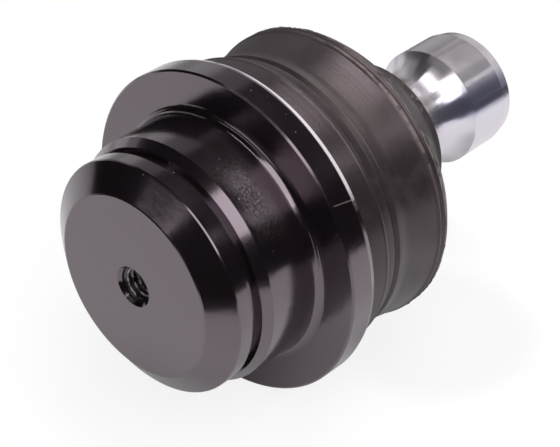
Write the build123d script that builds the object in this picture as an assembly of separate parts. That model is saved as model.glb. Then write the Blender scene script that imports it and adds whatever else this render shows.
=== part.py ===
from build123d import *
import os
from math import cos, radians, sqrt, tan

# Press-in suspension ball joint with a pinch-bolt stud, in millimetres.
# The joint's axis is Y. The housing's closed end faces -Y and the stud points to +Y.
# The origin is on the axis, at the middle of the press seat.
# A profile is drawn with X as the radius and Y as the station, and is turned about Y.

# Housing, outside, from the closed end to the boot's collar
seat_d = 42.0
seat_len = 8.6
land_step = 1.05
land_len = 2.7
lead_in_len = 1.5
ring_groove_w = 1.95
ring_groove_depth = 1.0
end_chamfer_len = 3.0
end_chamfer_h = 4.35
root_fillet = 1.4
flange_h = 7.0
flange_t = 5.2
flange_front_chamfer = 0.3
flange_back_bevel_len = 1.0
flange_back_bevel_h = 0.35
collar_wall_t = 4.95
collar_len = 6.6
collar_chamfer = 0.8
edge_break = 0.15

# Housing, inside, and the edge that is rolled over the closing ring
end_wall_t = 6.5
grease_hole_d = 6.0
grease_countersink = 0.5
floor_chamfer = 0.6
shoulder_w = 1.94
roll_wall_t = 2.6
roll_t = 1.4
roll_reach = 2.4
roll_chamfer = 1.6

# Ball and stud
ball_d = 27.0
ball_flat_d = 8.0
neck_d = 16.0
neck_fillet = 1.2
neck_taper_len = 4.0
seal_step = 0.5
seal_margin = 0.7
seal_chamfer = 0.4
stud_d = 21.2
stud_grip_len = 22.6
stud_lead_len = 2.2
stud_lead_h = 0.5
pinch_groove_from_end = 15.8
pinch_groove_radius = 7.0
pinch_groove_depth = 2.7
centre_hole_d = 4.0
centre_hole_angle = 60.0
swing_limit = 24.0

# Bearing shells, closing ring and preload spring
bearing_wall_t = 2.42
bearing_pole_t = 2.1
bearing_split = 0.6
bearing_chamfer = 0.9
bearing_cover_t = 0.78
bearing_flange_t = 2.0
bearing_grease_d = 5.0
closing_ring_t = 2.5
spring_od = 28.0
spring_id = 10.0
spring_t = 1.2
spring_height = 2.3

# Dust boot and the steel inserts in its bead and lip
bead_t = 2.8
bead_len = 6.4
bead_chamfer = 0.6
boot_wall_t = 2.0
boot_waist_step = 1.1
boot_waist_len = 2.2
boot_bulge = 0.5
boot_corner_from_flange = 20.0
boot_corner_round = 3.4
boot_cone_angle = 45.0
boot_collar_t = 3.5
boot_collar_len = 1.7
boot_collar_chamfer = 0.5
base_insert_t = 0.9
base_insert_len = 4.6
lip_skin_t = 0.6
lip_insert_t = 1.0
lip_insert_len = 3.0

# Clearances
ball_clearance = 0.08
bearing_clearance = 0.06
flat_gap = 0.05
ring_clearance = 0.05
insert_clearance = 0.1
soft_gap = 0.3
neck_clearance = 0.8

# Radii, worked outwards from the ball, the stud and the press seat
ball_r = ball_d / 2
neck_r = neck_d / 2
socket_r = ball_r + ball_clearance
bearing_r = socket_r + bearing_wall_t
bore_r = bearing_r + bearing_clearance
closing_ring_r = bore_r + shoulder_w
ring_seat_r = closing_ring_r + ring_clearance
mouth_r = ring_seat_r - roll_reach
roll_r = ring_seat_r + roll_wall_t
collar_r = ring_seat_r + collar_wall_t
seat_r = seat_d / 2
land_r = seat_r - land_step
ring_groove_r = land_r - ring_groove_depth
end_disc_r = land_r - end_chamfer_h
flange_r = seat_r + flange_h
stud_r = stud_d / 2
seal_r = stud_r - seal_step
insert_bore_r = collar_r + insert_clearance
base_insert_r = insert_bore_r + base_insert_t
bead_r = collar_r + bead_t
boot_waist_r = bead_r - boot_waist_step
boot_corner_r = bead_r + boot_bulge
boot_lip_r = seal_r + soft_gap
boot_collar_r = boot_lip_r + boot_collar_t
lip_insert_r = boot_collar_r - lip_skin_t - soft_gap

# The neck at its limit sweeps a cone whose foot is level with the ball's centre. Above the height
# where that cone leaves the socket, nothing holds the ball, so the shells end just past it.
swing_slope = tan(radians(swing_limit))
cone_foot_r = (neck_r + neck_clearance) / cos(radians(swing_limit))
foot_lean = cone_foot_r * swing_slope
spread = 1 + swing_slope**2
wrap_h = (sqrt(foot_lean**2 + spread * (socket_r**2 - cone_foot_r**2)) - foot_lean) / spread

# Stations along the axis, from the closed end to the stud's end
seat_near_y = -seat_len / 2
seat_far_y = seat_len / 2
groove_far_y = seat_near_y - lead_in_len
groove_near_y = groove_far_y - ring_groove_w
land_near_y = groove_near_y - land_len
closed_end_y = land_near_y - end_chamfer_len
flange_face_y = seat_far_y + root_fillet
flange_back_y = flange_face_y + flange_t
collar_end_y = flange_back_y + collar_len
floor_y = closed_end_y + end_wall_t
bearing_bottom_y = floor_y + spring_height + flat_gap
ball_y = bearing_bottom_y + bearing_pole_t + socket_r
bearing_top_y = ball_y + wrap_h + bearing_cover_t
shoulder_y = bearing_top_y - bearing_flange_t - flat_gap
closing_ring_y = bearing_top_y + flat_gap
roll_under_y = closing_ring_y + closing_ring_t + flat_gap
roll_top_y = roll_under_y + roll_t
bead_y = flange_back_y + flat_gap
bead_end_y = bead_y + bead_len
base_insert_y = bead_y + (bead_len - base_insert_len) / 2
boot_corner_y = flange_back_y + boot_corner_from_flange
boot_collar_y = boot_corner_y + (boot_corner_r - boot_collar_r) / tan(radians(boot_cone_angle))
boot_top_y = boot_collar_y + boot_collar_len
lip_slot_end_y = boot_top_y - lip_skin_t
lip_insert_y = lip_slot_end_y - soft_gap - lip_insert_len
boot_lip_y = lip_insert_y - soft_gap
seal_end_y = boot_top_y + seal_margin
seal_start_y = boot_lip_y - seal_margin
taper_y = seal_start_y - neck_taper_len
stud_end_y = seal_end_y + stud_grip_len
pinch_groove_y = stud_end_y - pinch_groove_from_end


def band(inner_r, outer_r, start_y, end_y):
    """Rectangular section between two radii and two stations."""
    return Polygon((inner_r, start_y), (outer_r, start_y), (outer_r, end_y), (inner_r, end_y), align=None)


def nearest(profile, *corners):
    """The profile's vertices that lie nearest to the given (radius, station) corners."""
    return [profile.vertices().sort_by_distance((r, y, 0))[0] for r, y in corners]


def turned(profile):
    """Solid of revolution about the joint's axis."""
    return revolve(profile, Axis.Y)


def disc_section(radius, centre_y):
    """Right half of a circle on the axis, the section of a ball."""
    right_half = band(0, 2 * radius, centre_y - 2 * radius, centre_y + 2 * radius)
    return Pos(0, centre_y) * Circle(radius) & right_half


def swing_cone():
    """Section of the space that the neck sweeps when the stud swings to its limit, with clearance."""
    head_y = roll_top_y + roll_t
    head_r = cone_foot_r + (head_y - ball_y) * swing_slope
    return Polygon((0, ball_y), (cone_foot_r, ball_y), (head_r, head_y), (0, head_y), align=None)


def make_housing():
    hole_r = grease_hole_d / 2
    countersink_r = hole_r + grease_countersink
    outside = [
        (countersink_r, closed_end_y),
        (end_disc_r, closed_end_y),
        (land_r, land_near_y),
        (land_r, groove_near_y),
        (ring_groove_r, groove_near_y),
        (ring_groove_r, groove_far_y),
        (land_r, groove_far_y),
        (seat_r, seat_near_y),
        (seat_r, flange_face_y),
        (flange_r, flange_face_y),
        (flange_r, flange_back_y - flange_back_bevel_len),
        (flange_r - flange_back_bevel_h, flange_back_y),
        (collar_r, flange_back_y),
        (collar_r, collar_end_y),
        (roll_r, collar_end_y),
        (roll_r, roll_top_y),
    ]
    inside = [
        (mouth_r, roll_top_y),
        (mouth_r, roll_under_y),
        (ring_seat_r, roll_under_y),
        (ring_seat_r, shoulder_y),
        (bore_r, shoulder_y),
        (bore_r, floor_y),
        (hole_r, floor_y),
        (hole_r, closed_end_y + grease_countersink),
    ]
    profile = Polygon(*outside, *inside, align=None)
    profile = fillet(nearest(profile, (seat_r, flange_face_y)), root_fillet)
    profile = chamfer(nearest(profile, (roll_r, roll_top_y)), roll_chamfer)
    profile = chamfer(nearest(profile, (bore_r, floor_y)), floor_chamfer)
    profile = chamfer(nearest(profile, (flange_r, flange_face_y)), flange_front_chamfer)
    profile = chamfer(nearest(profile, (collar_r, collar_end_y)), collar_chamfer)
    edges = nearest(profile, (end_disc_r, closed_end_y), (land_r, land_near_y), (land_r, groove_near_y))
    return turned(chamfer(edges, edge_break))


def make_closing_ring():
    section = band(0, closing_ring_r, closing_ring_y, closing_ring_y + closing_ring_t)
    return turned(section - swing_cone())


def make_preload_spring():
    """Conical disc spring. Its outer edge stands on the housing's floor and its inner edge on the shell."""
    outer_r = spring_od / 2
    inner_r = spring_id / 2
    inner_y = floor_y + spring_height - spring_t
    section = Polygon(
        (outer_r, floor_y),
        (outer_r, floor_y + spring_t),
        (inner_r, inner_y + spring_t),
        (inner_r, inner_y),
        align=None,
    )
    return turned(section)


def make_lower_bearing():
    section = band(bearing_grease_d / 2, bearing_r, bearing_bottom_y, ball_y - bearing_split / 2)
    section = chamfer(nearest(section, (bearing_r, bearing_bottom_y)), bearing_chamfer)
    return turned(section - disc_section(socket_r, ball_y))


def make_upper_bearing():
    rim = band(0, bearing_r, ball_y + bearing_split / 2, bearing_top_y)
    flange = band(0, closing_ring_r, shoulder_y + flat_gap, bearing_top_y)
    return turned(rim + flange - disc_section(socket_r, ball_y) - swing_cone())


def make_ball_stud():
    flat_y = ball_y - sqrt(ball_r**2 - (ball_flat_d / 2) ** 2)
    junction_y = ball_y + sqrt(ball_r**2 - neck_r**2)
    shank = Polygon(
        (0, ball_y),
        (neck_r, ball_y),
        (neck_r, taper_y),
        (seal_r, seal_start_y),
        (seal_r, seal_end_y),
        (stud_r, seal_end_y + seal_chamfer),
        (stud_r, stud_end_y - stud_lead_len),
        (stud_r - stud_lead_h, stud_end_y),
        (0, stud_end_y),
        align=None,
    )
    ball = disc_section(ball_r, ball_y) - band(0, ball_r, ball_y - 2 * ball_r, flat_y)
    profile = fillet(nearest(ball + shank, (neck_r, junction_y)), neck_fillet)
    groove_centre_r = stud_r - pinch_groove_depth + pinch_groove_radius
    groove = Pos(groove_centre_r, pinch_groove_y) * Circle(pinch_groove_radius)
    hole_r = centre_hole_d / 2
    hole_depth = hole_r / tan(radians(centre_hole_angle / 2))
    hole = Polygon((0, stud_end_y), (hole_r, stud_end_y), (0, stud_end_y - hole_depth), align=None)
    return turned(profile - groove - hole)


def boot_wall_section():
    """Band of even thickness that runs from the bead's waist, over the widest corner, to the collar."""
    half = radians(boot_cone_angle) / 2
    waist_end_y = bead_end_y + boot_waist_len
    inner_waist_r = boot_waist_r - boot_wall_t
    inner_corner_r = boot_corner_r - boot_wall_t
    inner_corner_y = boot_corner_y - boot_wall_t * tan(half)
    inner_end_r = boot_collar_r - boot_wall_t
    inner_end_y = inner_corner_y + (inner_corner_r - inner_end_r) / tan(2 * half)
    section = Polygon(
        (boot_waist_r, bead_end_y),
        (boot_waist_r, waist_end_y),
        (boot_corner_r, boot_corner_y),
        (boot_collar_r, boot_collar_y),
        (inner_end_r, inner_end_y),
        (inner_corner_r, inner_corner_y),
        (inner_waist_r, waist_end_y),
        (inner_waist_r, bead_end_y),
        align=None,
    )
    return fillet(nearest(section, (boot_corner_r, boot_corner_y)), boot_corner_round)


def make_dust_boot():
    slot_inner_r = lip_insert_r - lip_insert_t - soft_gap
    bead = band(insert_bore_r, bead_r, bead_y, bead_end_y)
    bead = chamfer(nearest(bead, (bead_r, bead_y), (bead_r, bead_end_y)), bead_chamfer)
    pocket = band(0, base_insert_r + insert_clearance, base_insert_y, base_insert_y + base_insert_len)
    collar = band(boot_lip_r, boot_collar_r, boot_lip_y, boot_top_y)
    collar = chamfer(nearest(collar, (boot_collar_r, boot_top_y)), boot_collar_chamfer)
    slot = band(slot_inner_r, lip_insert_r + soft_gap, boot_lip_y - boot_wall_t, lip_slot_end_y)
    return turned(bead - pocket + (boot_wall_section() + collar - slot))


def make_boot_base_insert():
    start_y = base_insert_y + flat_gap
    end_y = base_insert_y + base_insert_len - flat_gap
    return turned(band(insert_bore_r, base_insert_r, start_y, end_y))


def make_boot_lip_insert():
    inner_r = lip_insert_r - lip_insert_t
    return turned(band(inner_r, lip_insert_r, lip_insert_y, lip_insert_y + lip_insert_len))


parts = {
    "housing": make_housing(),
    "closing_ring": make_closing_ring(),
    "preload_spring": make_preload_spring(),
    "lower_bearing": make_lower_bearing(),
    "upper_bearing": make_upper_bearing(),
    "ball_stud": make_ball_stud(),
    "dust_boot": make_dust_boot(),
    "boot_base_insert": make_boot_base_insert(),
    "boot_lip_insert": make_boot_lip_insert(),
}

os.makedirs("parts", exist_ok=True)
for name, solid in parts.items():
    export_step(solid, f"parts/{name}.step")
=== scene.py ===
"""Looks for a press-in suspension ball joint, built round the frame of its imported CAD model."""

import random
from math import cos, hypot, pi, radians, sin, tan

import bpy
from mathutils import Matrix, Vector, noise


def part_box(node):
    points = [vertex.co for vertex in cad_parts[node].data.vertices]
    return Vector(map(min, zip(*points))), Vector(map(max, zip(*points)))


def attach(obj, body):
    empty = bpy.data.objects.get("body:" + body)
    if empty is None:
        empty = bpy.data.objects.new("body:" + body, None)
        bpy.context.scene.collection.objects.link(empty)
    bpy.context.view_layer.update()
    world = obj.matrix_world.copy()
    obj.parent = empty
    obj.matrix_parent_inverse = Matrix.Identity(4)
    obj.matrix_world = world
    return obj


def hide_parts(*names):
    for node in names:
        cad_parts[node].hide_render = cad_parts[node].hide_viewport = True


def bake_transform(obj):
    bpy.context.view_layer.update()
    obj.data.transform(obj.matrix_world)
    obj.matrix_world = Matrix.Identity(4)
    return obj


bl_info = {
    "name": "Suspension Ball Joint",
    "version": (1, 0, 0),
    "blender": (4, 5, 0),
    "location": "3D View > Sidebar > Ball Joint",
    "description": "Dresses a press-in ball joint with its rubber boot, grease thread and finishes",
    "category": "Object",
}

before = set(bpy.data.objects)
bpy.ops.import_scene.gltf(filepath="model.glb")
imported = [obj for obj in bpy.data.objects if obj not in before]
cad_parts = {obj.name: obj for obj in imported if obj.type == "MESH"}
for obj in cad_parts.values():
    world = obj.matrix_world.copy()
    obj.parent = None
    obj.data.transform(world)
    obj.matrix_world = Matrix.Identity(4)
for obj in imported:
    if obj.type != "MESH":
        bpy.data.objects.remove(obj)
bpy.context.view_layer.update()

MM = 0.001

HOUSING_LOW, HOUSING_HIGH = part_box("housing")
BOOT_LOW, BOOT_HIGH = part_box("dust_boot")
LIP_LOW, LIP_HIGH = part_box("boot_lip_insert")
# The bevel behind the flange, in mm: its length and depth, where it starts, and a radius inside it
BEVEL_LENGTH = 1.05
BEVEL_DEPTH = 0.4
BEVEL_START = BOOT_LOW.y / MM - BEVEL_LENGTH
BEVEL_RADIUS = HOUSING_HIGH.x / MM - BEVEL_DEPTH


# Properties


def length(label, about, value):
    """A size, given in millimetres and kept in metres."""
    return bpy.props.FloatProperty(
        name=label, description=about,
        default=value * MM, min=0, precision=5, subtype="DISTANCE", unit="LENGTH",
    )


def point(label, about, station, radius):
    """A (station, radius) point of an outline, given in millimetres and kept in metres."""
    return bpy.props.FloatVectorProperty(
        name=label, description=about,
        size=2, default=(station * MM, radius * MM), min=0, precision=5, unit="LENGTH",
    )


def share(label, about, value):
    """A number from 0 to 1."""
    return bpy.props.FloatProperty(
        name=label, description=about, default=value, min=0, max=1, subtype="FACTOR"
    )


def number(label, about, value):
    """A plain number, 0 or more."""
    return bpy.props.FloatProperty(name=label, description=about, default=value, min=0)


def colour(label, about, value):
    """A linear colour."""
    return bpy.props.FloatVectorProperty(
        name=label, description=about, default=value, min=0, max=1, subtype="COLOR"
    )


def turn(label, about, degrees):
    """An angle, kept in radians and shown in degrees."""
    return bpy.props.FloatProperty(
        name=label, description=about, default=radians(degrees), subtype="ANGLE", unit="ROTATION"
    )


class CoatFinish(bpy.types.PropertyGroup):
    """The black dip coat of the housing."""

    colour: colour("Coat colour", "Colour of the coat itself, under its gloss", (0.0045, 0.0030, 0.0038))
    gloss_tint: colour("Gloss tint", "Colour of what the coat reflects", (0.96, 0.79, 0.90))
    gloss_index: number("Gloss index", "Index of refraction of the coat", 2.05)
    roughness: share("Roughness", "Roughness of the clean coat", 0.15)
    # Also the colour of the painted glints on the seat, the painted highlight line on the rim and the
    # thread's paler crests
    dust_and_sheen_colour: colour("Dust colour", "Colour of the fine dust and rub marks", (0.30, 0.25, 0.27))
    # The seat's rubbed patch in this colour is partly dust and partly painted glints
    rub_dust_and_glint_amount: share("Dust amount", "How much of the rubbed patch the dust covers", 0.16)
    # A painted highlight on the bevel behind the flange, drawn in this colour as bare metal
    bevel_highlight_colour: colour("Bare colour", "Colour where the coat is scraped off", (0.74, 0.71, 0.73))


class GreaseThread(bpy.types.PropertyGroup):
    """The screw thread in the grease hole."""

    major_diameter: length("Major diameter", "Diameter at the root, against the hole's wall", 6.0)
    minor_diameter: length("Minor diameter", "Diameter at the thread's crest", 5.0)
    pitch: length("Pitch", "Distance from one turn to the next", 1.0)
    run_in: length("Run-in", "Depth at which the first turn starts", 0.45)
    hole_depth: length("Hole depth", "Thickness of the end wall round the hole", 6.5)
    crest_width: length("Crest width", "Width of the thread's flat crest", 0.14)


class BootShape(bpy.types.PropertyGroup):
    """The dust boot's moulded outline. Stations are measured from the flange's back."""

    bead_radius: length("Bead radius", "Outer radius where the bead band starts", 25.2)
    bead_lip_radius: length("Bead lip radius", "Outer radius of the band's end", 25.85)
    bead_length: length("Bead length", "Length of the bead band", 5.8)
    bead_bore: length("Bead bore", "Radius of the bead's bore, over the housing's collar", 23.1)
    insert_radius: length("Insert radius", "Outer radius of the pocket for the bead's steel ring", 24.1)
    insert_start: length("Insert start", "Station where that pocket starts", 0.9)
    insert_end: length("Insert end", "Station where that pocket ends", 5.5)
    notch_radius: length("Notch radius", "Radius of the notch behind the bead", 24.4)
    ridge: point("Ridge", "Top of the low ridge behind the notch", 7.42, 24.8)
    ridge_width: length("Ridge width", "Width of that ridge", 1.6)
    valley: point("Valley", "Bottom of the valley behind the ridge", 8.72, 24.1)
    crest: point("Crest", "Edge where the tall wall starts", 9.35, 24.85)
    dip: point("Dip", "The wall's shallow dip", 11.3, 24.5)
    swell: point("Swell", "Ridge before the parting line", 18.1, 25.92)
    parting: point("Parting line", "Line where the halves of the mould meet", 19.5, 25.72)
    shoulder: point("Shoulder", "Corner where the cone starts", 21.9, 24.15)
    collar: point("Collar", "Where the cone meets the collar round the stud", 32.35, 13.8)
    lip_radius: length("Lip radius", "Bore of the lip, over the stud", 10.42)
    wall_thickness: length("Wall thickness", "Thickness of the boot's wall", 2.0)
    slot_gap: length("Slot gap", "Gap round the lip's steel ring", 0.28)
    unevenness: length("Unevenness", "Depth of the moulded wall's slow waves", 0.05)
    sag: length("Sag", "How far the loose wall hangs to one side", 0.34)
    sag_bearing: turn("Sag bearing", "Side that the wall hangs to, from +X towards +Z", -45)


class MouldFlash(bpy.types.PropertyGroup):
    """The thin fin that the mould leaves on the parting line."""

    height: length("Height", "Usual height of the fin", 0.14)
    width: length("Width", "Width of the fin at its root", 0.16)
    raggedness: share("Raggedness", "How much the fin's height varies along the line", 0.6)
    tag_rise: length("Tag rise", "How far the longest loose tags stand up", 0.9)


class RubberFinish(bpy.types.PropertyGroup):
    """The boot's satin rubber."""

    colour: colour("Rubber colour", "Colour of the rubber", (0.015, 0.0115, 0.013))
    bloom_colour: colour("Bloom colour", "Colour of the faint bloom and mould marks", (0.034, 0.027, 0.031))
    # Also the colour of the painted highlights on the boot's wall and swell
    film_and_sheen_colour: colour("Film colour", "Colour where hands and grease were", (0.115, 0.095, 0.085))
    lint_colour: colour("Lint colour", "Colour of the specks of lint", (0.22, 0.20, 0.20))
    # Partly a painted highlight: this paler colour draws the fin as a light line
    torn_and_sheen_colour: colour("Torn colour", "Colour of the flash's torn edge", (0.15, 0.127, 0.123))
    gloss_tint: colour("Gloss tint", "Colour of what the rubber reflects", (1.0, 0.80, 0.87))
    roughness: share("Roughness", "Roughness of the moulded face", 0.29)


class SteelFinish(bpy.types.PropertyGroup):
    """The stud's fine-turned steel and the other bare metals."""

    colour: colour("Steel colour", "Colour of the bright stud", (0.61, 0.575, 0.625))
    turned_colour: colour("Turned colour", "Colour in the turned marks", (0.44, 0.42, 0.45))
    stain_colour: colour("Stain colour", "Colour of the dried oil by the pinch groove", (0.15, 0.12, 0.105))
    heat_colour: colour("Heat colour", "Colour of the blue heat tint down one side", (0.34, 0.35, 0.62))
    roughness: share("Roughness", "Roughness of the turned face", 0.22)
    spring_colour: colour("Spring colour", "Colour of the spring and the closing ring", (0.34, 0.34, 0.36))
    polymer_colour: colour("Polymer colour", "Colour of the bearing shells", (0.82, 0.81, 0.76))
    greased_colour: colour("Greased colour", "Colour of the shells under grease", (0.62, 0.54, 0.38))
    grease_colour: colour("Grease colour", "Colour of the dried grease by the lip", (0.10, 0.082, 0.072))
    crust_colour: colour("Crust colour", "Darker colour in that grease's lumps", (0.05, 0.04, 0.035))


class StageSettings(bpy.types.PropertyGroup):
    """Camera, lamps and floor."""

    camera_azimuth: turn("Camera azimuth", "Angle round the vertical, from -Y towards +X", 42.77)
    camera_elevation: turn("Camera elevation", "Height of the camera above the horizon", 35.06)
    camera_distance: length("Camera distance", "Distance from the camera to its target", 304.2)
    focal_length: bpy.props.FloatProperty(
        name="Focal length",
        description="Lens, in millimetres on a 36 mm sensor",
        default=120.53,
        min=1,
        unit="CAMERA",
    )
    target: bpy.props.FloatVectorProperty(
        name="Target",
        description="Point that the camera looks at",
        default=(3.107 * MM, 16.308 * MM, -2.003 * MM),
        subtype="TRANSLATION",
        unit="LENGTH",
    )
    floor_size: length("Floor size", "Side of the square floor", 8000)
    floor_colour: colour("Floor colour", "Colour of the floor", (0.74, 0.74, 0.74))
    # A painted contact shadow on the floor under the boot
    contact_shadow_colour: colour("Contact colour", "Colour of the floor under the boot", (0.44, 0.44, 0.45))
    contact_shadow_reach: length("Contact reach", "How far the floor's darker patch reaches", 22)
    shadow_share: share("Shadow share", "How dark the shadow on the floor shows", 0.15)
    gloss_shadow_share: share("Gloss shadow share", "How dark that shadow shows in the object's gloss", 0.9)
    surround_light: share("Surround light", "Strength of the surround where it lights the object", 0.36)


class BallJointSettings(bpy.types.PropertyGroup):
    """All the sizes and colours of the ball joint's looks."""

    coat: bpy.props.PointerProperty(type=CoatFinish)
    thread: bpy.props.PointerProperty(type=GreaseThread)
    boot: bpy.props.PointerProperty(type=BootShape)
    flash: bpy.props.PointerProperty(type=MouldFlash)
    rubber: bpy.props.PointerProperty(type=RubberFinish)
    steel: bpy.props.PointerProperty(type=SteelFinish)
    stage: bpy.props.PointerProperty(type=StageSettings)


# Meshes


BOOT_SEGMENTS = 240
WAVE_LENGTH = 9 * MM
ARC_STEP = radians(11)
SHARP_ANGLE = radians(50)
# A corner's rounding takes up less than half of the sides next to it
SIDE_SHARE = 0.48
# Margins that the boot's sag keeps from the bead, the shoulder and the lip
SAG_MARGINS = (0.8 * MM, 1.5 * MM, 0.5 * MM)


def placed(name, data):
    """A new object in the scene."""
    item = bpy.data.objects.new(name, data)
    bpy.context.scene.collection.objects.link(item)
    return item


def placed_mesh(name, points, faces):
    """A new mesh object in the scene."""
    mesh = bpy.data.meshes.new(name)
    mesh.from_pydata(points, [], faces)
    return placed(name, mesh)


def rounded_loop(corners):
    """A closed outline through (station, radius, rounding) corners, with a curve at each rounded corner."""
    loop = []
    for index, (station, radius, rounding) in enumerate(corners):
        corner = Vector((station, radius))
        back = Vector(corners[index - 1][:2]) - corner
        ahead = Vector(corners[(index + 1) % len(corners)][:2]) - corner
        if rounding == 0:
            loop.append(corner)
            continue
        opening = back.angle(ahead)
        reach = min(rounding / tan(opening / 2), SIDE_SHARE * back.length, SIDE_SHARE * ahead.length)
        start = corner + back.normalized() * reach
        end = corner + ahead.normalized() * reach
        steps = max(2, round((pi - opening) / ARC_STEP))
        for step in range(steps + 1):
            t = step / steps
            loop.append(start * (1 - t) ** 2 + corner * 2 * t * (1 - t) + end * t**2)
    return loop


def lofted_piece(name, sections, ring=True):
    """A smooth mesh through equal closed sections. A ring's last section joins its first."""
    around = len(sections[0])
    vertices = [spot for section in sections for spot in section]
    faces = []
    last = len(sections) if ring else len(sections) - 1
    for index in range(last):
        here = index * around
        there = (index + 1) % len(sections) * around
        for side in range(around):
            after = (side + 1) % around
            faces.append((here + side, here + after, there + after, there + side))
    if not ring:
        faces.append(tuple(range(around - 1, -1, -1)))
        faces.append(tuple(range(last * around, (last + 1) * around)))
    piece = placed_mesh(name, vertices, faces)
    piece.data.validate()
    piece.data.shade_smooth()
    piece.data.set_sharp_from_angle(angle=SHARP_ANGLE)
    return piece


def on_axis(angle, station, radius):
    """The point at an angle round the Y axis, a station along it and a radius from it."""
    return (radius * cos(angle), station, radius * sin(angle))


def boot_piece(name, corners, wave=0.0):
    """A section of the boot turned about the Y axis, with slow waves in its radius."""
    loop = rounded_loop(corners)
    sections = []
    for segment in range(BOOT_SEGMENTS):
        angle = -2 * pi * segment / BOOT_SEGMENTS
        section = []
        for station, radius in loop:
            place = Vector(on_axis(angle, station, radius)) / WAVE_LENGTH
            section.append(on_axis(angle, BOOT_LOW.y + station, radius + wave * noise.noise(place)))
        sections.append(section)
    return lofted_piece(name, sections)


def ramp(value, start, end):
    """0 up to start, 1 from end, and smooth between them."""
    t = min(1.0, max(0.0, (value - start) / (end - start)))
    return t * t * (3 - 2 * t)


def let_hang(piece, boot):
    """Lets the boot's loose wall hang to one side. Its bead and its lip stay centred."""
    from_bead, from_shoulder, from_lip = SAG_MARGINS
    side = Vector(on_axis(boot.sag_bearing, 0, boot.sag))
    held = BOOT_LOW.y + boot.bead_length + from_bead
    loose = BOOT_LOW.y + boot.dip[0]
    narrowing = BOOT_LOW.y + boot.shoulder[0] + from_shoulder
    lip = LIP_LOW.y - from_lip
    for vertex in piece.data.vertices:
        station = vertex.co.y
        vertex.co += side * ramp(station, held, loose) * (1 - ramp(station, narrowing, lip))


# Materials


# Patches on turned faces: station in mm, bearing in degrees, half length in mm and half width in degrees.
# Bearings go round the axis, from +X towards +Z.
# The seat's rubbed patch carries painted glints as well as dust and grit
SEAT_RUB_AND_GLINTS = (-0.6, 52, 4.4, 24)
# A painted highlight: a pale lengthwise band down the boot's wall
WALL_SHEEN = (22.8, 63, 6.5, 24)
# A duller, rougher patch on the wall, painted darker as shade
WALL_DULL_SHADE = (25.0, 124, 16.0, 50)
# Rub marks on the swell's ridge, partly a painted highlight along it
SWELL_RUB_AND_SHEEN = (29.2, 60, 0.6, 56)
CONE_FILM = (41.5, 60, 5.5, 34)
WAIST_STAIN = (49.6, 82, 4.0, 75)
END_HEAT = (60.0, 27, 14.0, 20)
END_OIL = (63.0, 82, 13.0, 48)
# The cone is rougher than the wall: where that starts and is full, as stations in mm, and by how much
CONE_ROUGHENING = (30.4, 33.0, 0.27)
# The painted highlight along the bevel, drawn as a stretch of bare, bright metal: the bearing of its middle
# and its half width, in degrees. It narrows between two bearings in degrees by so many mm, and its edge is
# ragged by so many mm.
HIGHLIGHT_STRETCH = (65.5, 33)
HIGHLIGHT_NARROWING = (48, 90, 0.42)
HIGHLIGHT_RAGGEDNESS = 0.3
# The painted highlight line across the rim, drawn like a scratch: bearing in degrees, slant in radians per
# mm, half widths in radians at its edge and its core, the stations in mm where it fades in, and its strength
HIGHLIGHT_LINE_BEARING = 36.4
HIGHLIGHT_LINE_SLANT = -0.006
HIGHLIGHT_LINE_WIDTHS = (0.0055, 0.002)
HIGHLIGHT_LINE_STATIONS = (6.1, 6.6)
HIGHLIGHT_LINE_STRENGTH = 0.2


def wire(tree, kind, inputs=None, **settings):
    """Adds a shader node. An input is a value, or another node's output to link."""
    node = tree.nodes.new("ShaderNode" + kind)
    for key, value in settings.items():
        setattr(node, key, value)
    for key, value in (inputs or {}).items():
        if isinstance(value, bpy.types.NodeSocket):
            tree.links.new(value, node.inputs[key])
        else:
            node.inputs[key].default_value = value
    return node


def maths(tree, operation, first, second=0.5, third=0.5):
    return wire(tree, "Math", {0: first, 1: second, 2: third}, operation=operation).outputs[0]


def product(tree, first, *others):
    """Values multiplied together."""
    for other in others:
        first = maths(tree, "MULTIPLY", first, other)
    return first


def off_by(tree, value, middle):
    """How far a value is from a middle one."""
    return maths(tree, "ABSOLUTE", maths(tree, "SUBTRACT", value, middle))


def fade(tree, value, start, end):
    """0 up to start, 1 from end, and smooth between them."""
    limits = {"Value": value, "From Min": start, "From Max": end}
    return wire(tree, "MapRange", limits, interpolation_type="SMOOTHSTEP").outputs[0]


def spread(tree, value, low, high):
    """Maps 0 to 1 onto low to high."""
    return wire(tree, "MapRange", {"Value": value, "To Min": low, "To Max": high}).outputs[0]


def blotches(tree, vector, scale, detail=3.0, roughness=0.5):
    inputs = {"Vector": vector, "Scale": scale, "Detail": detail, "Roughness": roughness}
    return wire(tree, "TexNoise", inputs).outputs[0]


def specks(tree, vector, scale, size):
    """Small round dots, 1 in a dot and 0 outside it, each in its own cell."""
    cells = wire(tree, "TexVoronoi", {"Vector": vector, "Scale": scale})
    return maths(tree, "LESS_THAN", cells.outputs["Distance"], size)


def blended(tree, factor, first, second):
    """A mix of two colours."""
    inputs = {0: factor, 6: opaque(first), 7: opaque(second)}
    return wire(tree, "Mix", inputs, data_type="RGBA").outputs[2]


def opaque(paint):
    """A colour with full alpha, or a socket as it is."""
    return paint if isinstance(paint, bpy.types.NodeSocket) else (*paint, 1.0)


def relief(tree, height, distance, under=None):
    """A bump of that height in metres."""
    inputs = {"Height": height, "Distance": distance}
    if under is not None:
        inputs["Normal"] = under
    return wire(tree, "Bump", inputs).outputs[0]


def part_place(tree):
    """Where a point is, in millimetres in the part's own frame."""
    place = wire(tree, "TexCoord").outputs["Object"]
    return wire(tree, "VectorMath", {0: place, "Scale": 1 / MM}, operation="SCALE").outputs[0]


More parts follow.
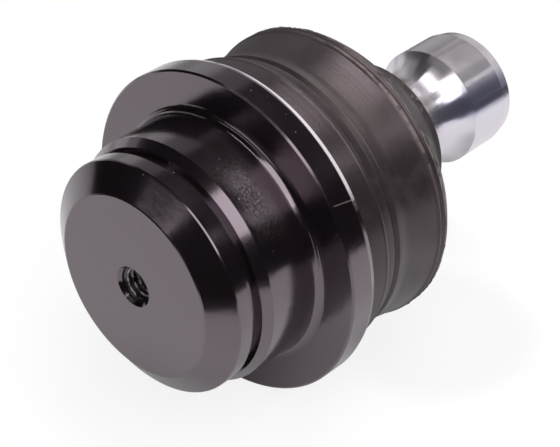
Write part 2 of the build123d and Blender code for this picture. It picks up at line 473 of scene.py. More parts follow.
def lathe_place(tree, place):
    """Radius, station and angle about the Y axis, and a vector of the first two."""
    axes = wire(tree, "SeparateXYZ", {0: place})
    flat = wire(tree, "CombineXYZ", {0: axes.outputs[0], 1: axes.outputs[2]}).outputs[0]
    radius = wire(tree, "VectorMath", {0: flat}, operation="LENGTH").outputs["Value"]
    station = axes.outputs[1]
    angle = maths(tree, "ARCTAN2", axes.outputs[2], axes.outputs[0])
    along = wire(tree, "CombineXYZ", {0: radius, 1: station}).outputs[0]
    return radius, station, angle, along


def new_material(name, **sockets):
    """A material with the values that are the same all over it, its nodes, shader and place."""
    material = bpy.data.materials.new(name)
    material.use_nodes = True
    tree = material.node_tree
    shader = next(node for node in tree.nodes if node.type == "BSDF_PRINCIPLED")
    for key, value in sockets.items():
        shader.inputs[key.replace("_", " ")].default_value = value
    return material, tree, shader, part_place(tree)


def finish(tree, shader, paint, roughness, normal):
    """Links what differs from place to place."""
    tree.links.new(paint, shader.inputs["Base Color"])
    tree.links.new(roughness, shader.inputs["Roughness"])
    tree.links.new(normal, shader.inputs["Normal"])


def patch(tree, station, angle, spot):
    """A soft-edged patch on a turned face, 1 in its middle and 0 outside it."""
    middle, bearing, half_length, half_width = spot
    half_width = radians(half_width)
    in_station = fade(tree, off_by(tree, station, middle), half_length, 0.2 * half_length)
    in_angle = fade(tree, off_by(tree, angle, radians(bearing)), half_width, 0.2 * half_width)
    return product(tree, in_station, in_angle)


def housing_coat(coat):
    """Glossy black dip coat over turned steel, with orange peel, fine dust, a rubbed patch on the seat with
    dust and painted glints, a painted highlight line across the rim, and a painted highlight on the bevel
    drawn as bare metal.
    """
    tint = opaque(coat.gloss_tint)
    material, tree, shader, place = new_material("housing_coat", IOR=coat.gloss_index, Specular_Tint=tint)
    radius, station, angle, along = lathe_place(tree, place)
    # The rubbed patch on the seat: grit in the bump, and specks that are partly dust and partly painted
    # glints
    rub = patch(tree, station, angle, SEAT_RUB_AND_GLINTS)
    grain = blotches(tree, place, 3.4, 5.0, 0.7)
    rub_and_sheen = product(tree, rub, fade(tree, grain, 0.47, 0.60))
    dots = specks(tree, place, 0.9, 0.06)
    scarce = product(tree, dots, fade(tree, blotches(tree, place, 0.35), 0.56, 0.64))
    dust_and_painted_highlights = maths(tree, "MAXIMUM", product(tree, rub_and_sheen, coat.rub_dust_and_glint_amount), scarce)
    # The painted highlight line across the rim joins the dust, in the same colour
    dust_and_painted_highlights = maths(tree, "MAXIMUM", dust_and_painted_highlights, rim_highlight_line(tree, radius, station, angle))
    paint = blended(tree, dust_and_painted_highlights, coat.colour, coat.dust_and_sheen_colour)
    turning = blotches(tree, along, 5.0, 3.0, 0.6)
    smudge = blotches(tree, place, 0.12, 4.0, 0.6)
    rough = spread(tree, smudge, coat.roughness - 0.04, coat.roughness + 0.06)
    rough = maths(tree, "ADD", rough, product(tree, dust_and_painted_highlights, 0.35))
    rings = relief(tree, turning, 0.0022 * MM)
    peel = relief(tree, blotches(tree, place, 0.9, 2.0), 0.010 * MM, rings)
    gritty = relief(tree, product(tree, rub, grain), 0.05 * MM, peel)
    # A painted highlight on the bevel behind the flange, drawn as bare, bright metal
    bevel_highlight = painted_bevel_highlight(tree, radius, station, angle, blotches(tree, place, 2.2, 3.0, 0.6))
    paint = blended(tree, bevel_highlight, paint, coat.bevel_highlight_colour)
    rough = wire(tree, "Mix", {0: bevel_highlight, 2: rough, 3: 0.2}).outputs[0]
    tree.links.new(bevel_highlight, shader.inputs["Metallic"])
    finish(tree, shader, paint, rough, gritty)
    return material


def rim_highlight_line(tree, radius, station, angle):
    """A part-strength painted highlight line, thin as a hairline, that crosses the flange's rim at a slant.
    """
    slant = maths(tree, "MULTIPLY_ADD", station, HIGHLIGHT_LINE_SLANT, radians(HIGHLIGHT_LINE_BEARING))
    near = fade(tree, off_by(tree, angle, slant), *HIGHLIGHT_LINE_WIDTHS)
    on_rim = maths(tree, "GREATER_THAN", radius, BEVEL_RADIUS)
    within = product(tree, on_rim, fade(tree, station, *HIGHLIGHT_LINE_STATIONS))
    return product(tree, near, within, HIGHLIGHT_LINE_STRENGTH)


def painted_bevel_highlight(tree, radius, station, angle, edge_noise):
    """1 on the painted highlight along the narrow bevel behind the flange, drawn as bare metal, narrower
    towards the top.
    """
    first, last, narrower = HIGHLIGHT_NARROWING
    narrowing = product(tree, fade(tree, angle, radians(first), radians(last)), narrower)
    ragged = spread(tree, edge_noise, BEVEL_START, BEVEL_START + HIGHLIGHT_RAGGEDNESS)
    edge = maths(tree, "ADD", ragged, narrowing)
    behind = maths(tree, "GREATER_THAN", station, edge)
    outside = maths(tree, "GREATER_THAN", radius, BEVEL_RADIUS)
    middle, half_width = HIGHLIGHT_STRETCH
    within = maths(tree, "LESS_THAN", off_by(tree, angle, radians(middle)), radians(half_width))
    return product(tree, behind, outside, within)


def thread_coat(coat):
    """The thinner coat that reaches into the thread, with paler patches on the crests, partly wear and partly
    painted highlight.
    """
    material, tree, shader, place = new_material("thread_coat", IOR=1.65)
    radius = lathe_place(tree, place)[0]
    on_crest = fade(tree, radius, 2.72, 2.5)
    # Paler patches on the crests: partly wear, partly a painted highlight
    crest_wear_and_sheen = product(tree, on_crest, fade(tree, blotches(tree, place, 1.6), 0.4, 0.6))
    paint = blended(tree, crest_wear_and_sheen, coat.colour, coat.dust_and_sheen_colour)
    rough = spread(tree, blotches(tree, place, 1.2), 0.2, 0.42)
    finish(tree, shader, paint, rough, relief(tree, blotches(tree, place, 4.0), 0.02 * MM))
    return material


def boot_rubber(rubber):
    """Satin black rubber with mould bands, slow bloom, fine dust, a film on the cone, a painted highlight
    down the wall, rub marks and a painted highlight on the swell, and a duller patch with painted shade.
    """
    tint = opaque(rubber.gloss_tint)
    material, tree, shader, place = new_material("boot_rubber", IOR=1.46, Specular_Tint=tint)
    station, angle, along = lathe_place(tree, place)[1:]
    banding = blotches(tree, along, 0.9, 3.0, 0.6)
    clouds = blotches(tree, place, 0.11, 4.0, 0.6)
    bloom = product(tree, fade(tree, clouds, 0.42, 0.68), spread(tree, banding, 0.3, 1.0))
    paint = blended(tree, bloom, rubber.colour, rubber.bloom_colour)
    lint = specks(tree, place, 0.75, 0.045)
    paint = blended(tree, product(tree, lint, 0.35), paint, rubber.lint_colour)
    film = patch(tree, station, angle, CONE_FILM)
    film = product(tree, film, fade(tree, blotches(tree, place, 1.1, 5.0, 0.7), 0.50, 0.60))
    paint = blended(tree, product(tree, film, 0.6), paint, rubber.film_and_sheen_colour)
    # A painted highlight down the wall, in the film's colour
    painted_wall_sheen = product(tree, patch(tree, station, angle, WALL_SHEEN), 0.3)
    # Rub marks on the swell's ridge, partly a painted highlight along it
    rub_and_sheen = patch(tree, station, angle, SWELL_RUB_AND_SHEEN)
    rub_and_sheen = product(tree, rub_and_sheen, fade(tree, blotches(tree, place, 0.5, 4.0, 0.7), 0.38, 0.55))
    paint = blended(tree, maths(tree, "MAXIMUM", painted_wall_sheen, rub_and_sheen), paint, rubber.film_and_sheen_colour)
    # A duller, rougher patch on the wall, painted darker as shade: the bloom and marks give way to the plain
    # rubber colour
    dull_shade = patch(tree, station, angle, WALL_DULL_SHADE)
    paint = blended(tree, product(tree, dull_shade, 0.8), paint, rubber.colour)
    rough = spread(tree, clouds, rubber.roughness - 0.07, rubber.roughness + 0.12)
    rough = maths(tree, "ADD", rough, product(tree, dull_shade, 0.42))
    cone_start, cone_full, rougher = CONE_ROUGHENING
    on_cone = product(tree, fade(tree, station, cone_start, cone_full), rougher)
    rough = maths(tree, "ADD", rough, on_cone)
    skin = relief(tree, blotches(tree, place, 2.6, 3.0, 0.6), 0.018 * MM)
    lines = relief(tree, banding, 0.03 * MM, skin)
    finish(tree, shader, paint, rough, lines)
    return material


def flash_rubber(rubber):
    """The torn edge of the mould's flash, paler than the moulded rubber, partly as a painted highlight line
    along the fin.
    """
    material, tree, shader, place = new_material("flash_rubber", IOR=1.42)
    torn_and_sheen = fade(tree, blotches(tree, place, 0.3, 4.0, 0.6), 0.30, 0.62)
    paint = blended(tree, torn_and_sheen, rubber.colour, rubber.torn_and_sheen_colour)
    rough = spread(tree, torn_and_sheen, 0.4, 0.6)
    finish(tree, shader, paint, rough, relief(tree, blotches(tree, place, 4.0), 0.02 * MM))
    return material


def bright_steel(steel):
    """Fine-turned bright steel with dried oil by the pinch groove and on the end, and a blue heat tint."""
    brushed = {"Metallic": 0.92, "Anisotropic": 0.93, "Anisotropic_Rotation": 0.25}
    material, tree, shader, place = new_material("bright_steel", **brushed)
    rings_along = wire(tree, "Tangent", direction_type="RADIAL", axis="Y").outputs[0]
    tree.links.new(rings_along, shader.inputs["Tangent"])
    station, angle, along = lathe_place(tree, place)[1:]
    turning = blotches(tree, along, 7.0, 4.0, 0.7)
    oil = blotches(tree, place, 0.16, 4.0, 0.6)
    near_edge = patch(tree, station, angle, WAIST_STAIN)
    stain = product(tree, near_edge, fade(tree, oil, 0.32, 0.60))
    shade = blended(tree, spread(tree, turning, 0.0, 0.3), steel.colour, steel.turned_colour)
    oiled = product(tree, patch(tree, station, angle, END_OIL), 0.45)
    shade = blended(tree, oiled, shade, steel.stain_colour)
    heat = product(tree, patch(tree, station, angle, END_HEAT), 0.6)
    shade = blended(tree, heat, shade, steel.heat_colour)
    paint = blended(tree, stain, shade, steel.stain_colour)
    rough = spread(tree, oil, steel.roughness - 0.05, steel.roughness + 0.09)
    rough = maths(tree, "ADD", rough, product(tree, stain, 0.2))
    finish(tree, shader, paint, rough, relief(tree, turning, 0.0016 * MM))
    return material


def rolled_steel(name, shade, roughness):
    """Plain rolled steel with a grey scale and fine scratches."""
    material, tree, shader, place = new_material(name, Metallic=1.0)
    scale = blotches(tree, place, 0.45, 5.0, 0.65)
    darker = tuple(0.55 * channel for channel in shade)
    paint = blended(tree, fade(tree, scale, 0.35, 0.65), shade, darker)
    rough = spread(tree, scale, roughness - 0.08, roughness + 0.1)
    finish(tree, shader, paint, rough, relief(tree, blotches(tree, place, 5.0), 0.01 * MM))
    return material


def bearing_polymer(steel):
    """Natural acetal, matt, with a film of grease in patches."""
    softness = {"Subsurface_Weight": 0.08, "Subsurface_Radius": (1.2 * MM, 1.0 * MM, 0.8 * MM)}
    material, tree, shader, place = new_material("bearing_polymer", IOR=1.48, **softness)
    film = fade(tree, blotches(tree, place, 0.25, 4.0, 0.6), 0.4, 0.62)
    paint = blended(tree, product(tree, film, 0.5), steel.polymer_colour, steel.greased_colour)
    rough = spread(tree, film, 0.5, 0.24)
    finish(tree, shader, paint, rough, relief(tree, blotches(tree, place, 3.0), 0.012 * MM))
    return material


def dried_grease(steel):
    """Brown dried grease, lumpy and half matt."""
    material, tree, shader, place = new_material("dried_grease", IOR=1.47)
    lumps = blotches(tree, place, 1.8, 4.0, 0.6)
    paint = blended(tree, fade(tree, lumps, 0.4, 0.62), steel.grease_colour, steel.crust_colour)
    rough = spread(tree, lumps, 0.28, 0.6)
    finish(tree, shader, paint, rough, relief(tree, lumps, 0.05 * MM))
    return material


def dress(piece, material):
    """Gives a piece or a CAD node its material."""
    if piece.material_slots:
        for held in piece.material_slots:
            held.material = material
    else:
        piece.data.materials.append(material)


# Pieces


THREAD_STEPS_PER_TURN = 48
THREAD_FADE_STEPS = 16
# Shares of the pitch at the thread's root, and of its depth at its very ends
THREAD_ROOT_SHARE = 0.92
THREAD_END_SHARE = 0.06
# The lip's steel ring is a third as thick as it is long
LIP_RING_THICKNESS = (LIP_HIGH.y - LIP_LOW.y) / 3
FLASH_STEPS = 900
FLASH_ROOT_DEPTH = 0.12 * MM
FLASH_HALF_EDGE = 0.02 * MM
FLASH_SLOW = 4
FLASH_QUICK = 34
FLASH_SEED = 11
TAG_STEPS = 14
TAG_ROOT_DEPTH = 0.05 * MM
GREASE_BLOBS = 14
GREASE_SEED = 5
# The blobs' mean bearing and its spread in degrees, and their depths below the collar's end and sizes in mm
GREASE_BEARING = (62, 22)
GREASE_DEPTHS = (0.5, 1.9)
GREASE_SIZES = (0.10, 0.32)
# Loose bits of flash on the parting line: bearing and span in degrees, share of the tag rise, and lean in mm
FLASH_TAGS = (
    (-44, 5, 0.3, 0.2),
    (27, 5, 0.3, 0.3),
    (36, 7, 0.45, 0.5),
    (62, 9, 0.25, 0.6),
    (140, 8, 0.3, 0.3),
    (205, 6, 0.4, -0.3),
    (250, 9, 0.3, 0.4),
)


def thread_sections(thread):
    """The thread's ridge: one triangle with a flat crest, wound up the hole."""
    root_radius = thread.major_diameter / 2
    crest_radius = thread.minor_diameter / 2
    half_root = THREAD_ROOT_SHARE * thread.pitch / 2
    half_crest = thread.crest_width / 2
    run = thread.hole_depth - 2 * thread.run_in - 2 * half_root
    steps = round(run / thread.pitch * THREAD_STEPS_PER_TURN)
    sections = []
    for step in range(steps + 1):
        turns = step / THREAD_STEPS_PER_TURN
        middle = HOUSING_LOW.y + thread.run_in + half_root + turns * thread.pitch
        from_end = min(step, steps - step)
        rise = min(1.0, THREAD_END_SHARE + from_end / THREAD_FADE_STEPS)
        tip = root_radius + (crest_radius - root_radius) * rise
        outline = (
            (middle - half_root, root_radius),
            (middle - half_crest, tip),
            (middle + half_crest, tip),
            (middle + half_root, root_radius),
        )
        sections.append([on_axis(-2 * pi * turns, station, radius) for station, radius in outline])
    return sections


def bead_corners(boot):
    """The bead band's section, open inwards round its steel ring."""
    under_edge = boot.notch_radius + 0.05 * MM
    return (
        (0, boot.bead_bore, 0),
        (0, boot.bead_radius, 0.5 * MM),
        (boot.bead_length - 0.75 * MM, boot.bead_lip_radius - 0.12 * MM, 0.4 * MM),
        (boot.bead_length - 0.45 * MM, boot.bead_lip_radius, 0.3 * MM),
        (boot.bead_length, boot.bead_lip_radius - 0.1 * MM, 0.25 * MM),
        (boot.bead_length, under_edge, 0.1 * MM),
        (boot.insert_end, under_edge, 0),
        (boot.insert_end, boot.insert_radius, 0),
        (boot.insert_start, boot.insert_radius, 0),
        (boot.insert_start, boot.bead_bore, 0),
    )


def low_ridge(top, root, width):
    """A low ridge that runs round the boot."""
    station, crest = top
    half = width / 2
    foot = half + 0.16 * MM
    return (
        (station - foot, root, 0.14 * MM),
        (station - half, crest, 0.12 * MM),
        (station + half, crest, 0.12 * MM),
        (station + foot, root, 0.14 * MM),
    )


def shifted(spot, along, out):
    """A (station, radius) point moved along the axis and outwards."""
    return (spot[0] + along, spot[1] + out)


def wall_corners(boot):
    """The boot's wall from under the bead's edge, up the wall and the cone to the lip, and back inside."""
    wall = boot.wall_thickness
    shoulder_station, shoulder_radius = boot.shoulder
    collar_station, collar_radius = boot.collar
    top = BOOT_HIGH.y - BOOT_LOW.y
    ring_inner = LIP_HIGH.x - LIP_RING_THICKNESS - boot.slot_gap
    ring_outer = LIP_HIGH.x + boot.slot_gap
    ring_end = LIP_HIGH.y - BOOT_LOW.y + boot.slot_gap
    leg_start = LIP_LOW.y - BOOT_LOW.y - boot.slot_gap
    slope = (shoulder_radius - collar_radius) / (collar_station - shoulder_station)
    cone_drop = wall * hypot(1, slope)
    inner_shoulder = shoulder_station - 0.35 * wall
    inner_cone_end = shoulder_station + (shoulder_radius - cone_drop - ring_outer) / slope
    return (
        (boot.insert_end, boot.bead_bore + 0.05 * MM, 0),
        (boot.insert_end, boot.notch_radius, 0),
        (boot.bead_length + 0.45 * MM, boot.notch_radius, 0.08 * MM),
        *low_ridge(boot.ridge, boot.notch_radius, boot.ridge_width),
        (*boot.valley, 0.15 * MM),
        (*boot.crest, 0.22 * MM),
        (*boot.dip, 4 * MM),
        (*shifted(boot.swell, -0.5 * MM, -0.34 * MM), 0.3 * MM),
        (*boot.swell, 0.3 * MM),
        (*shifted(boot.parting, -0.5 * MM, -0.22 * MM), 0.2 * MM),
        (*boot.parting, 0.1 * MM),
        (*shifted(boot.parting, 0.7 * MM, -0.2 * MM), 0.6 * MM),
        (*boot.shoulder, 2.2 * MM),
        (*boot.collar, 2.4 * MM),
        (top, collar_radius - 0.1 * MM, 0.5 * MM),
        (top, boot.lip_radius, 0.35 * MM),
        (leg_start, boot.lip_radius, 0.2 * MM),
        (leg_start, ring_inner, 0.2 * MM),
        (ring_end, ring_inner, 0.1 * MM),
        (ring_end, ring_outer, 0.1 * MM),
        (inner_cone_end, ring_outer, 0.4 * MM),
        (inner_shoulder, shoulder_radius - cone_drop + 0.35 * wall * slope, 2.4 * MM),
        (*shifted(boot.swell, 0, -wall), 1.2 * MM),
        (*shifted(boot.dip, 0, -wall), 6 * MM),
        (*shifted(boot.valley, 0, -0.8 * wall), 1.0 * MM),
        (boot.bead_length + 0.6 * MM, boot.bead_bore + 0.05 * MM, 0.2 * MM),
    )


def flash_noise(angle, scale):
    """Noise that meets itself after a turn, quicker at a larger scale."""
    return noise.noise(Vector((scale * cos(angle), scale * sin(angle), FLASH_SEED)))


def flash_sections(flash, boot):
    """The ragged fin on the parting line. Its height comes from slow and quick noise."""
    middle = BOOT_LOW.y + boot.parting[0]
    root = boot.parting[1] - FLASH_ROOT_DEPTH
    sections = []
    for step in range(FLASH_STEPS):
        angle = -2 * pi * step / FLASH_STEPS
        slow = flash_noise(angle, FLASH_SLOW)
        quick = flash_noise(angle, FLASH_QUICK)
        height = flash.height * (1 + flash.raggedness * (0.8 * slow + 0.9 * quick))
        lean = flash.width * (0.5 + quick)
        outline = (
            (middle - flash.width / 2, root),
            (middle + lean - FLASH_HALF_EDGE, root + FLASH_ROOT_DEPTH + height),
            (middle + lean + FLASH_HALF_EDGE, root + FLASH_ROOT_DEPTH + height),
            (middle + flash.width / 2, root),
        )
        sections.append([on_axis(angle, station, radius) for station, radius in outline])
    return sections


def tag_sections(tag, flash, boot):
    """One loose tag of flash: a thin strip that lifts off the parting line and comes back to it."""
    bearing, span, share_of_rise, lean = tag
    root = boot.parting[1] - TAG_ROOT_DEPTH
    sections = []
    for step in range(TAG_STEPS + 1):
        t = step / TAG_STEPS
        angle = radians(bearing + span * (t - 0.5))
        rise = flash.tag_rise * share_of_rise * sin(pi * t) ** 0.8
        station = BOOT_LOW.y + boot.parting[0] + lean * MM * sin(pi * t) + 0.1 * MM
        thick = 0.035 * MM + 0.06 * MM * sin(pi * t)
        outline = (
            (station - thick, root + rise),
            (station, root + rise + 1.4 * thick),
            (station + thick, root + rise),
            (station, root + rise - 1.4 * thick),
        )
        sections.append([on_axis(angle, place, radius) for place, radius in outline])
    return sections


def joined(name, pieces):
    """Joins several new pieces into the first and names it."""
    with bpy.context.temp_override(active_object=pieces[0], selected_editable_objects=pieces):
        bpy.ops.object.join()
    pieces[0].name = name
    return pieces[0]


def grease_blob(bearing, station, radius, size, seed):
    """A low, lumpy blob of dried grease on the boot's collar."""
    rings = 5
    around = 10
    sections = []
    for ring in range(rings):
        tilt = pi / 2 * ring / (rings - 1) * 0.92
        section = []
        for side in range(around):
            turn_angle = 2 * pi * side / around
            lump = 1 + 0.45 * noise.noise(Vector((3 * cos(turn_angle), 3 * sin(turn_angle), seed)))
            reach = size * cos(tilt) * lump
            lift = 0.35 * size * sin(tilt) - 0.03 * MM
            angle = bearing + reach * cos(turn_angle) / radius
            section.append(on_axis(angle, station + reach * sin(turn_angle), radius + lift))
        sections.append(section)
    return lofted_piece("grease_blob", sections, ring=False)


# Operators


class PieceOperator(bpy.types.Operator):
    """Shared settings of the operators that make pieces."""

    bl_options = {"REGISTER", "UNDO"}

    @property
    def settings(self):
        return bpy.context.scene.ball_joint


class BALLJOINT_OT_coat_housing(PieceOperator):
    """Give the housing its glossy black dip coat"""

    bl_idname = "balljoint.coat_housing"
    bl_label = "Coat Housing"

    def execute(self, context):
        dress(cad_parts["housing"], housing_coat(self.settings.coat))
        return {"FINISHED"}


class BALLJOINT_OT_cut_thread(PieceOperator):
    """Wind the screw thread up the grease hole"""

    bl_idname = "balljoint.cut_thread"
    bl_label = "Cut Grease Thread"

    def execute(self, context):
        thread = lofted_piece("grease_thread", thread_sections(self.settings.thread), ring=False)
        dress(thread, thread_coat(self.settings.coat))
        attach(thread, "housing")
        return {"FINISHED"}


class BALLJOINT_OT_mould_boot(PieceOperator):
    """Mould the rubber boot: its bead, its wall and the flash on its parting line"""

    bl_idname = "balljoint.mould_boot"
    bl_label = "Mould Boot"

    def execute(self, context):
        boot = self.settings.boot
        flash = self.settings.flash
        rubber = boot_rubber(self.settings.rubber)
        bead = boot_piece("boot_bead", bead_corners(boot))
        wall = boot_piece("boot_wall", wall_corners(boot), boot.unevenness)
        strips = [lofted_piece("boot_flash", flash_sections(flash, boot))]
        for tag in FLASH_TAGS:
            strips.append(lofted_piece("flash_tag", tag_sections(tag, flash, boot), ring=False))
        fin = joined("boot_flash", strips)
        for piece, look in ((bead, rubber), (wall, rubber), (fin, flash_rubber(self.settings.rubber))):
            dress(piece, look)
        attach(bead, "housing")
        for piece in (wall, fin):
            let_hang(piece, boot)
            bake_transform(piece)
        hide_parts("dust_boot")
        return {"FINISHED"}


class BALLJOINT_OT_turn_stud(PieceOperator):
    """Give the ball stud its fine-turned bright steel"""

    bl_idname = "balljoint.turn_stud"
    bl_label = "Turn Stud"

    def execute(self, context):
        dress(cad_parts["ball_stud"], bright_steel(self.settings.steel))
        return {"FINISHED"}


class BALLJOINT_OT_fit_mechanism(PieceOperator):
    """Finish the shells, the disc spring and the steel rings inside"""

    bl_idname = "balljoint.fit_mechanism"
    bl_label = "Finish Mechanism"

    def execute(self, context):
        steel = self.settings.steel
        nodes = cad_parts
        dress(nodes["closing_ring"], rolled_steel("closing_ring_steel", steel.spring_colour, 0.36))
        dress(nodes["preload_spring"], rolled_steel("spring_steel", steel.spring_colour, 0.26))
        insert_steel = rolled_steel("insert_steel", steel.colour, 0.34)
        polymer = bearing_polymer(steel)
        for name in ("boot_base_insert", "boot_lip_insert"):
            dress(nodes[name], insert_steel)
        for name in ("lower_bearing", "upper_bearing"):
            dress(nodes[name], polymer)
        return {"FINISHED"}


class BALLJOINT_OT_smear_grease(PieceOperator):
    """Leave dried grease on the boot's collar, round the stud"""

    bl_idname = "balljoint.smear_grease"
    bl_label = "Smear Grease"

    def execute(self, context):
        boot = self.settings.boot
        draw = random.Random(GREASE_SEED)
        blobs = []
        for count in range(GREASE_BLOBS):
            bearing = radians(draw.gauss(*GREASE_BEARING))
            station = BOOT_HIGH.y - draw.uniform(*GREASE_DEPTHS) * MM
            size = draw.uniform(*GREASE_SIZES) * MM
            blobs.append(grease_blob(bearing, station, boot.collar[1], size, count))
        smear = joined("grease_smear", blobs)
        dress(smear, dried_grease(self.settings.steel))
        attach(smear, "boot_neck")
        return {"FINISHED"}


def outward(azimuth, elevation):
    """The direction at an azimuth from -Y towards +X and an elevation, both in radians."""
    return Vector((sin(azimuth) * cos(elevation), -cos(azimuth) * cos(elevation), sin(elevation)))


def soft_lamp(name, place, target, width, height, radiance):
    """A rectangular soft lamp of a given radiance, turned towards a point."""
    lamp = bpy.data.lights.new(name, "AREA")
    lamp.shape = "RECTANGLE"
    lamp.size = width
    lamp.size_y = height
    lamp.energy = pi * width * height * radiance
    holder = placed(name, lamp)
    holder.location = place
    holder.rotation_euler = (target - place).to_track_quat("-Z", "Y").to_euler()
    holder.visible_camera = False


def ray_kinds(tree):
    """1 for the camera's rays, and 1 for those seen in gloss or glass."""
    path = wire(tree, "LightPath").outputs
    return path["Is Camera Ray"], maths(tree, "MAXIMUM", path["Is Glossy Ray"], path["Is Transmission Ray"])


def studio_floor(stage):
    """A pale floor that looks white, with the object's shadow kept and a painted contact shadow round the
    foot of the boot.
    """
    material = bpy.data.materials.new("studio_floor")
    material.use_nodes = True
    tree = material.node_tree
    tree.nodes.clear()
    place = wire(tree, "TexCoord").outputs["Object"]
    # A painted contact shadow: the floor darker round the foot of the boot
    away = wire(tree, "VectorMath", {0: place, 1: CONTACT_SHADOW_POINT}, operation="DISTANCE")
    near = fade(tree, away.outputs["Value"], stage.contact_shadow_reach, 0.6 * stage.contact_shadow_reach)
    paint = blended(tree, near, stage.floor_colour, stage.contact_shadow_colour)
    matt = wire(tree, "BsdfDiffuse", {"Color": paint}).outputs[0]
    glow = wire(tree, "Emission").outputs[0]
    by_camera, in_gloss = ray_kinds(tree)
    seen = product(tree, by_camera, 1 - stage.shadow_share)
    white = maths(tree, "MAXIMUM", seen, product(tree, in_gloss, 1 - stage.gloss_shadow_share))
    mix = wire(tree, "MixShader", {0: white, 1: matt, 2: glow}).outputs[0]
    wire(tree, "OutputMaterial", {"Surface": mix})
    return material


def studio_world(stage):
    """A white surround, dimmer where it only lights the object."""
    world = bpy.data.worlds.new("studio")
    world.use_nodes = True
    tree = world.node_tree
    strength = spread(tree, maths(tree, "MAXIMUM", *ray_kinds(tree)), stage.surround_light, 1.0)
    background = next(node for node in tree.nodes if node.type == "BACKGROUND")
    background.inputs["Color"].default_value = (1, 1, 1, 1)
    tree.links.new(strength, background.inputs["Strength"])
    bpy.context.scene.world = world


# The middle of the floor's painted contact shadow, a darker patch at the foot of the boot
CONTACT_SHADOW_POINT = (0.02, 0.038, HOUSING_LOW.z)
LAMP_TARGET = Vector((0, 0.02, 0))
# Lamps that hang level over the object: name, place, width and depth in metres, and radiance
OVERHEAD_LAMPS = (
    ("overhead_softbox", (0.63, -0.50, 0.70), 0.94, 1.30, 3.6),
    ("overhead_strip", (0.72, 0.33, 0.70), 0.20, 0.46, 5.5),
    ("top_window", (0.02, 0.18, 0.70), 0.54, 0.23, 8.5),
)
# Lamps to a side: name, azimuth and elevation in degrees, distance, width and height in metres, and radiance
SIDE_LAMPS = (
    ("front_window", -18, 14, 0.85, 0.42, 0.22, 1.4),
    ("front_strip", -16, 42, 1.20, 0.95, 0.10, 1.8),
    ("back_window", -173, 27, 1.30, 1.20, 0.38, 0.35),
)
# Cards that only gloss sees: name, azimuths and elevations in degrees, distance in metres, and glow
GLOSS_CARDS = (
    ("card_front", -84, 34, -1, 16, 1.3, 0.0),
    ("card_front_left", -84, -33, 15, 50, 1.3, 0.0),
    ("card_front_high", -34, 60, 15, 62, 1.9, 0.0),
    ("card_right", 28, 158, -1, 30, 1.9, 0.0),
    ("card_back_right", 100, 162, 20, 50, 1.9, 0.03),
    ("card_back_high", 150, 224, 34, 55, 1.9, 0.03),
    ("card_left_low_front", -112, -83, -1, 13, 1.0, 1.05),
    ("card_left_low_back", -145, -110, -1, 9, 1.0, 0.5),
    ("card_left_middle", -145, -108, 8, 25, 1.02, 0.75),
    ("card_left_middle_front", -110, -86, 12, 25, 1.04, 0.4),
    ("card_left_high", -145, -88, 24, 44, 1.06, 0.32),
    ("card_over", -180, 180, 43, 90, 2.0, 0.0),
)
# Low cards that hide the floor's far part in gloss: name, azimuths in degrees, radius, foot and top in metres
SKIRTING_CARDS = (
    ("skirting_front_left", -68, -4, 0.16, -0.028, 0.02),
    ("skirting_front_right", -6, 46, 0.085, -0.028, 0.02),
    ("skirting_right_front", 44, 104, 0.16, -0.028, 0.02),
    ("skirting_right_back", 100, 157, 0.16, -0.014, 0.02),
    ("skirting_back", 152, 222, 0.16, -0.028, -0.004),
)
CARD_COLUMNS = 24
CARD_ROWS = 6


def stand_card(name, points, glow):
    """A card through rows of points that gloss alone sees, so it casts no light or shadow."""
    faces = []
    across = CARD_COLUMNS + 1
    for row in range(len(points) // across - 1):
        for column in range(CARD_COLUMNS):
            low = row * across + column
            high = low + across
            faces.append((low, low + 1, high + 1, high))
    card = placed_mesh(name, points, faces)
    dress(card, card_paint(glow))
    card.visible_camera = False
    card.visible_diffuse = False
    card.visible_shadow = False
    card.visible_transmission = False


def even_angles(first, last, steps):
    """Evenly spaced angles in radians, from a first to a last in degrees."""
    return [radians(first + (last - first) * step / steps) for step in range(steps + 1)]


def domed_card(name, west, east, low, high, distance, glow):
    """A card on a sphere round the object."""
    points = []
    for elevation in even_angles(low, high, CARD_ROWS):
        for azimuth in even_angles(west, east, CARD_COLUMNS):
            points.append(outward(azimuth, elevation) * distance)
    stand_card(name, points, glow)


def skirting_card(name, west, east, radius, foot, top):
    """A low, black, upright card that stands round the object."""
    points = []
    for height in (foot, top):
        for azimuth in even_angles(west, east, CARD_COLUMNS):
            points.append(outward(azimuth, 0) * radius + Vector((0, 0, height)))
    stand_card(name, points, 0.0)


def card_paint(glow):
    """Black, or a grey that glows evenly."""
    material = bpy.data.materials.new("card_paint")
    material.use_nodes = True
    tree = material.node_tree
    tree.nodes.clear()
    light = wire(tree, "Emission", {"Strength": glow}).outputs[0]
    wire(tree, "OutputMaterial", {"Surface": light})
    return material


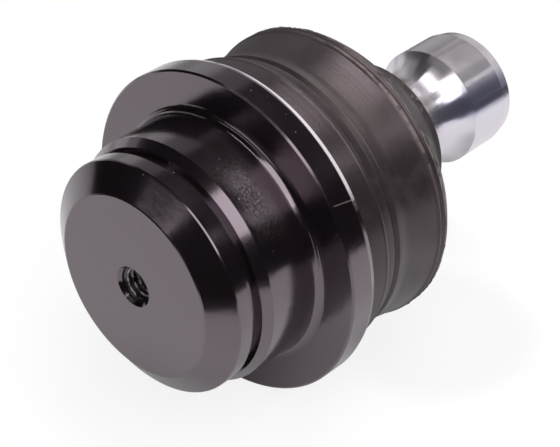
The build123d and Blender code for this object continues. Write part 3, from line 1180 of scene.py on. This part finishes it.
class BALLJOINT_OT_set_stage(PieceOperator):
    """Set the floor, the soft lamps, the cards and the camera"""

    bl_idname = "balljoint.set_stage"
    bl_label = "Set Stage"

    def execute(self, context):
        stage = self.settings.stage
        self.lay_floor(stage)
        self.hang_lamps()
        self.stand_cards()
        self.aim_camera(stage)
        studio_world(stage)
        context.scene.view_settings.view_transform = "Standard"
        return {"FINISHED"}

    def lay_floor(self, stage):
        half = stage.floor_size / 2
        corners = [(x * half, y * half, HOUSING_LOW.z) for x, y in ((-1, -1), (1, -1), (1, 1), (-1, 1))]
        floor = placed_mesh("studio_floor", corners, [(0, 1, 2, 3)])
        dress(floor, studio_floor(stage))

    def hang_lamps(self):
        for name, place, width, depth, radiance in OVERHEAD_LAMPS:
            soft_lamp(name, Vector(place), Vector((place[0], place[1], 0)), width, depth, radiance)
        for name, azimuth, elevation, distance, width, height, radiance in SIDE_LAMPS:
            place = outward(radians(azimuth), radians(elevation)) * distance
            soft_lamp(name, place, LAMP_TARGET, width, height, radiance)

    def stand_cards(self):
        for card in GLOSS_CARDS:
            domed_card(*card)
        for card in SKIRTING_CARDS:
            skirting_card(*card)

    def aim_camera(self, stage):
        lens = bpy.data.cameras.new("camera")
        lens.lens = stage.focal_length
        lens.sensor_width = 36
        lens.clip_start = 0.01
        lens.clip_end = 50
        camera = placed("camera", lens)
        towards_camera = outward(stage.camera_azimuth, stage.camera_elevation)
        camera.location = Vector(stage.target) + towards_camera * stage.camera_distance
        camera.rotation_euler = (-towards_camera).to_track_quat("-Z", "Y").to_euler()
        bpy.context.scene.camera = camera


class BALLJOINT_PT_panel(bpy.types.Panel):
    """The ball joint's steps, in order."""

    bl_idname = "BALLJOINT_PT_panel"
    bl_label = "Ball Joint"
    bl_space_type = "VIEW_3D"
    bl_region_type = "UI"
    bl_category = "Ball Joint"

    def draw(self, context):
        for step in STEPS:
            self.layout.operator(step.bl_idname)


STEPS = (
    BALLJOINT_OT_coat_housing,
    BALLJOINT_OT_cut_thread,
    BALLJOINT_OT_mould_boot,
    BALLJOINT_OT_turn_stud,
    BALLJOINT_OT_fit_mechanism,
    BALLJOINT_OT_smear_grease,
    BALLJOINT_OT_set_stage,
)

CLASSES = (
    CoatFinish,
    GreaseThread,
    BootShape,
    MouldFlash,
    RubberFinish,
    SteelFinish,
    StageSettings,
    BallJointSettings,
    *STEPS,
    BALLJOINT_PT_panel,
)


def register():
    for each in CLASSES:
        bpy.utils.register_class(each)
    bpy.types.Scene.ball_joint = bpy.props.PointerProperty(type=BallJointSettings)


def unregister():
    del bpy.types.Scene.ball_joint
    for each in reversed(CLASSES):
        bpy.utils.unregister_class(each)


def main():
    register()
    bpy.ops.balljoint.coat_housing()
    bpy.ops.balljoint.cut_thread()
    bpy.ops.balljoint.mould_boot()
    bpy.ops.balljoint.turn_stud()
    bpy.ops.balljoint.fit_mechanism()
    bpy.ops.balljoint.smear_grease()
    bpy.ops.balljoint.set_stage()


if __name__ == "__main__":
    main()
